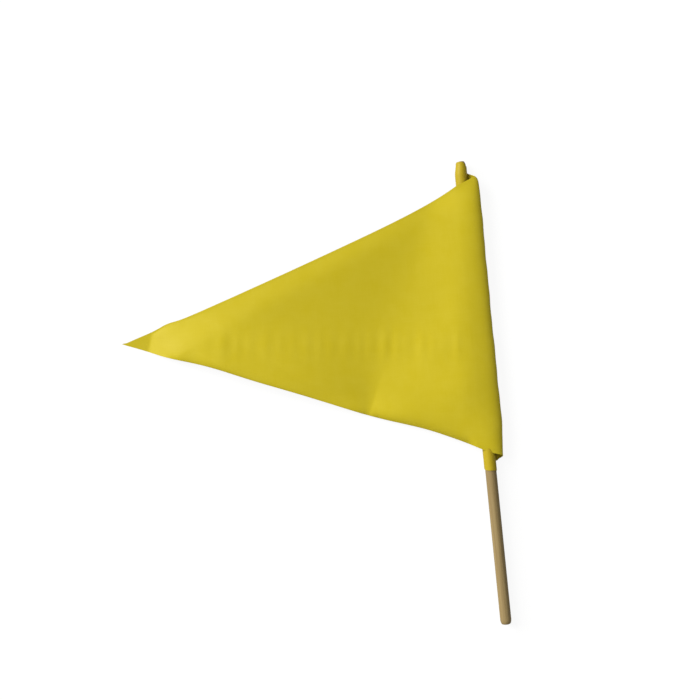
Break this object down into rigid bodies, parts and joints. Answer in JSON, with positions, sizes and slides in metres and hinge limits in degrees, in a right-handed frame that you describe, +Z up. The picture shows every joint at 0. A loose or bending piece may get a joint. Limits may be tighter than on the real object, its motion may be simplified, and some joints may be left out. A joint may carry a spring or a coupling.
{
  "type": "linesman flag",
  "caption": "Triangular yellow cloth flag wound on and stapled to a slim round wooden stick, lying folded over the stick with its tip out to one side.",
  "frame": {"origin": "middle of the stick's flat butt face", "axes": "+Y along the stick from the butt to the top end; +Z up from the surface that the flag lies on; the cloth's tip lies towards -X"},
  "size_m": [0.4, 0.5, 0.0154],
  "materials": {
    "wood": "bare turned softwood, fine lengthwise grain",
    "cloth": "coated yellow cloth, slight sheen, raw cut edges",
    "staple_wire": "plain staple wire"
  },
  "bodies": {
    "stick": {"stick": "wood", "flag_hoist": "cloth", "hoist_staple_bottom": "staple_wire", "hoist_staple_middle": "staple_wire", "hoist_staple_top": "staple_wire"},
    "panel": {"flag_panel": "cloth"}
  },
  "joints": [
    {"name": "panel_fold", "type": "hinge", "parent": "stick", "child": "panel", "pos_m": [0.01735, 0.33, 0.001], "axis": [0, 1, 0], "range_deg": [0, 180]}
  ]
}
